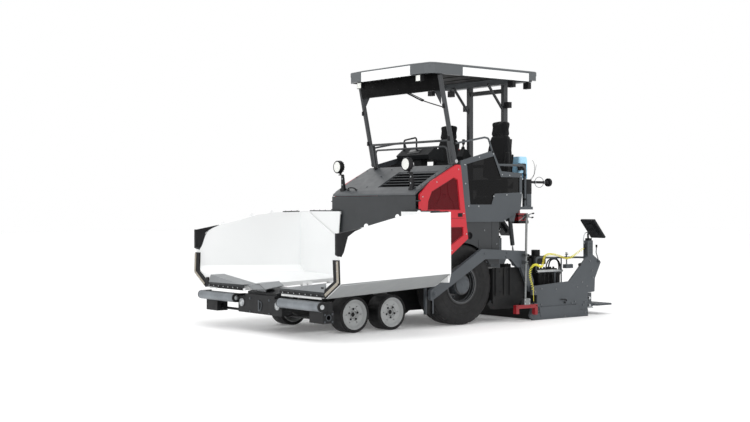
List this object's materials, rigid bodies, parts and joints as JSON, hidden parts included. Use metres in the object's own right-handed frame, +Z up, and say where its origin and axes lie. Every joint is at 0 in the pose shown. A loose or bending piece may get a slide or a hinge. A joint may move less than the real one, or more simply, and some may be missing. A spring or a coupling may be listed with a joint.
{
  "type": "wheeled asphalt paver",
  "caption": "Wheeled asphalt paver with a folding receiving hopper, steered tandem front wheels, canopied operator platform, augers and an extending rear screed on lifting tow arms.",
  "frame": {"origin": "middle of the bounding box's base, on the ground under the machine", "axes": "+X forward to the hopper, +Y to the machine's left, +Z up"},
  "size_m": [5.6979, 3.312, 3.5],
  "materials": {
    "anthracite_paint": "satin anthracite paint",
    "battery_grey": "plain grey casing",
    "blue_plastic": "light blue",
    "bright_steel": "galvanised",
    "cable_yellow": "yellow sheath",
    "chain_steel": "plain steel",
    "console_plastic": "black moulded",
    "frame_paint": "satin near-black paint",
    "grey_paint": "satin slate grey paint",
    "lamp_black": "black housing",
    "red_paint": "semi-gloss red paint",
    "red_plastic": "red moulded",
    "rim_paint": "silver-grey paint",
    "rod_chrome": "hard chrome",
    "roller_steel": "dark worn steel",
    "rubber_black": "matt black rubber",
    "seat_fabric": "black woven",
    "tint_glass": "dark tinted",
    "tyre_black": "matt black rubber",
    "white_paint": "semi-gloss white paint"
  },
  "bodies": {
    "chassis": {"main_frame": "frame_paint", "front_axle": "frame_paint", "bumper_beam": "grey_paint", "conveyor": "chain_steel", "hopper_rear_walls": "white_paint", "body_panels": "anthracite_paint", "battery_block": "battery_grey", "platform": "grey_paint", "platform_guards": "grey_paint", "guard_windows": "tint_glass", "canopy_posts": "grey_paint", "canopy_shell": "grey_paint", "canopy_fascia": "white_paint", "work_lamps": "lamp_black", "seats": "seat_fabric", "console": "console_plastic", "rear_equipment": "blue_plastic", "rear_signal_box": "red_plastic", "auger_carrier": "frame_paint"},
    "hood": {"hood_lid": "anthracite_paint", "hood_lamps": "lamp_black"},
    "screed": {"tow_arms": "grey_paint", "screed_main": "frame_paint", "sensor_mast": "bright_steel", "sonic_sensor": "red_plastic"},
    "lift_barrel_pair": {"lift_barrels": "grey_paint"},
    "lift_rod_pair": {"lift_rods": "rod_chrome"},
    "rear_wheel_left": {"rear_tyre_left": "tyre_black", "rear_rim_left": "grey_paint"},
    "steer_front_pair_left": {"knuckle_front_pair_left": "frame_paint"},
    "wheel_front_pair_left": {"tyre_front_pair_left": "tyre_black", "rim_front_pair_left": "rim_paint"},
    "steer_rear_pair_left": {"knuckle_rear_pair_left": "frame_paint"},
    "wheel_rear_pair_left": {"tyre_rear_pair_left": "tyre_black", "rim_rear_pair_left": "rim_paint"},
    "roller_left": {"push_roller_left": "roller_steel"},
    "hopper_wing_left": {"wing_left": "white_paint", "wing_trim_left": "rubber_black"},
    "door_left": {"side_door_left": "red_paint"},
    "auger_left_half": {"auger_left": "roller_steel"},
    "screed_extension_left": {"extension_left": "grey_paint", "control_panel_left": "console_plastic", "sensor_cord": "cable_yellow"},
    "rear_walkway_left": {"walkway_left": "grey_paint"},
    "rear_wheel_right": {"rear_tyre_right": "tyre_black", "rear_rim_right": "grey_paint"},
    "steer_front_pair_right": {"knuckle_front_pair_right": "frame_paint"},
    "wheel_front_pair_right": {"tyre_front_pair_right": "tyre_black", "rim_front_pair_right": "rim_paint"},
    "steer_rear_pair_right": {"knuckle_rear_pair_right": "frame_paint"},
    "wheel_rear_pair_right": {"tyre_rear_pair_right": "tyre_black", "rim_rear_pair_right": "rim_paint"},
    "roller_right": {"push_roller_right": "roller_steel"},
    "hopper_wing_right": {"wing_right": "white_paint", "wing_trim_right": "rubber_black"},
    "door_right": {"side_door_right": "red_paint"},
    "auger_right_half": {"auger_right": "roller_steel"},
    "screed_extension_right": {"extension_right": "grey_paint", "control_panel_right": "console_plastic"},
    "rear_walkway_right": {"walkway_right": "grey_paint"}
  },
  "joints": [
    {"name": "rear_wheel_spin_left", "type": "hinge", "parent": "chassis", "child": "rear_wheel_left", "pos_m": [0.1, 0.7, 0.546], "axis": [0, 1, 0], "continuous": true},
    {"name": "steering_front_pair_left", "type": "hinge", "parent": "chassis", "child": "steer_front_pair_left", "pos_m": [1.852, 0.6, 0.23], "axis": [0, 0, 1], "range_deg": [-20, 20]},
    {"name": "wheel_spin_front_pair_left", "type": "hinge", "parent": "steer_front_pair_left", "child": "wheel_front_pair_left", "pos_m": [1.852, 0.7, 0.23], "axis": [0, 1, 0], "continuous": true},
    {"name": "steering_rear_pair_left", "type": "hinge", "parent": "chassis", "child": "steer_rear_pair_left", "pos_m": [1.248, 0.6, 0.23], "axis": [0, 0, 1], "range_deg": [-20, 20]},
    {"name": "wheel_spin_rear_pair_left", "type": "hinge", "parent": "steer_rear_pair_left", "child": "wheel_rear_pair_left", "pos_m": [1.248, 0.7, 0.23], "axis": [0, 1, 0], "continuous": true},
    {"name": "push_roller_spin_left", "type": "hinge", "parent": "chassis", "child": "roller_left", "pos_m": [2.79, 0.945, 0.41], "axis": [0, 1, 0], "continuous": true},
    {"name": "wing_fold_left", "type": "hinge", "parent": "chassis", "child": "hopper_wing_left", "pos_m": [1.7, 0.38, 0.5], "axis": [1, 0, 0], "range_deg": [0, 50]},
    {"name": "door_swing_left", "type": "hinge", "parent": "chassis", "child": "door_left", "pos_m": [0.89, 0.918, 1.4], "axis": [0, 0, -1], "range_deg": [0, 85]},
    {"name": "auger_spin_left", "type": "hinge", "parent": "chassis", "child": "auger_left_half", "pos_m": [-0.85, 0.45, 0.33], "axis": [0, 1, 0], "continuous": true},
    {"name": "extension_slide_left", "type": "slide", "parent": "screed", "child": "screed_extension_left", "axis": [0, 1, 0], "range_m": [0, 0.8]},
    {"name": "walkway_fold_left", "type": "hinge", "parent": "screed_extension_left", "child": "rear_walkway_left", "pos_m": [-2.5, 0.48, 0.15], "axis": [0, 1, 0], "range_deg": [0, 88]},
    {"name": "rear_wheel_spin_right", "type": "hinge", "parent": "chassis", "child": "rear_wheel_right", "pos_m": [0.1, -0.7, 0.546], "axis": [0, 1, 0], "continuous": true},
    {"name": "steering_front_pair_right", "type": "hinge", "parent": "chassis", "child": "steer_front_pair_right", "pos_m": [1.852, -0.6, 0.23], "axis": [0, 0, 1], "range_deg": [-20, 20]},
    {"name": "wheel_spin_front_pair_right", "type": "hinge", "parent": "steer_front_pair_right", "child": "wheel_front_pair_right", "pos_m": [1.852, -0.7, 0.23], "axis": [0, 1, 0], "continuous": true},
    {"name": "steering_rear_pair_right", "type": "hinge", "parent": "chassis", "child": "steer_rear_pair_right", "pos_m": [1.248, -0.6, 0.23], "axis": [0, 0, 1], "range_deg": [-20, 20]},
    {"name": "wheel_spin_rear_pair_right", "type": "hinge", "parent": "steer_rear_pair_right", "child": "wheel_rear_pair_right", "pos_m": [1.248, -0.7, 0.23], "axis": [0, 1, 0], "continuous": true},
    {"name": "push_roller_spin_right", "type": "hinge", "parent": "chassis", "child": "roller_right", "pos_m": [2.79, -0.945, 0.41], "axis": [0, 1, 0], "continuous": true},
    {"name": "wing_fold_right", "type": "hinge", "parent": "chassis", "child": "hopper_wing_right", "pos_m": [1.7, -0.38, 0.5], "axis": [-1, 0, 0], "range_deg": [0, 50]},
    {"name": "door_swing_right", "type": "hinge", "parent": "chassis", "child": "door_right", "pos_m": [0.89, -0.918, 1.4], "axis": [0, 0, 1], "range_deg": [0, 85]},
    {"name": "auger_spin_right", "type": "hinge", "parent": "chassis", "child": "auger_right_half", "pos_m": [-0.85, -0.45, 0.33], "axis": [0, 1, 0], "continuous": true},
    {"name": "extension_slide_right", "type": "slide", "parent": "screed", "child": "screed_extension_right", "axis": [0, -1, 0], "range_m": [0, 0.8]},
    {"name": "walkway_fold_right", "type": "hinge", "parent": "screed_extension_right", "child": "rear_walkway_right", "pos_m": [-2.5, -0.48, 0.15], "axis": [0, 1, 0], "range_deg": [0, 88]},
    {"name": "hood_lift", "type": "hinge", "parent": "chassis", "child": "hood", "pos_m": [0.265, 0, 2.128], "axis": [0, -1, 0], "range_deg": [0, 65]},
    {"name": "screed_lift", "type": "hinge", "parent": "chassis", "child": "screed", "pos_m": [0.7, 0, 0.445], "axis": [0, 1, 0], "range_deg": [0, 6]},
    {"name": "lift_barrel_pivot", "type": "hinge", "parent": "chassis", "child": "lift_barrel_pair", "pos_m": [-0.84, 0, 1.42], "axis": [0, 1, 0], "range_deg": [-2.45, 0]},
    {"name": "lift_rod_slide", "type": "slide", "parent": "lift_barrel_pair", "child": "lift_rod_pair", "axis": [-0.1437, 0, -0.9896], "range_m": [-0.1765, 0]}
  ],
  "couplings": [
    {"joint": "steering_rear_pair_left", "follows": "steering_front_pair_left", "ratio": 1},
    {"joint": "steering_front_pair_right", "follows": "steering_front_pair_left", "ratio": 1},
    {"joint": "steering_rear_pair_right", "follows": "steering_front_pair_left", "ratio": 1},
    {"joint": "lift_barrel_pivot", "follows": "screed_lift", "ratio": -0.4},
    {"joint": "lift_rod_slide", "follows": "screed_lift", "m_per_rad": -1.652}
  ]
}
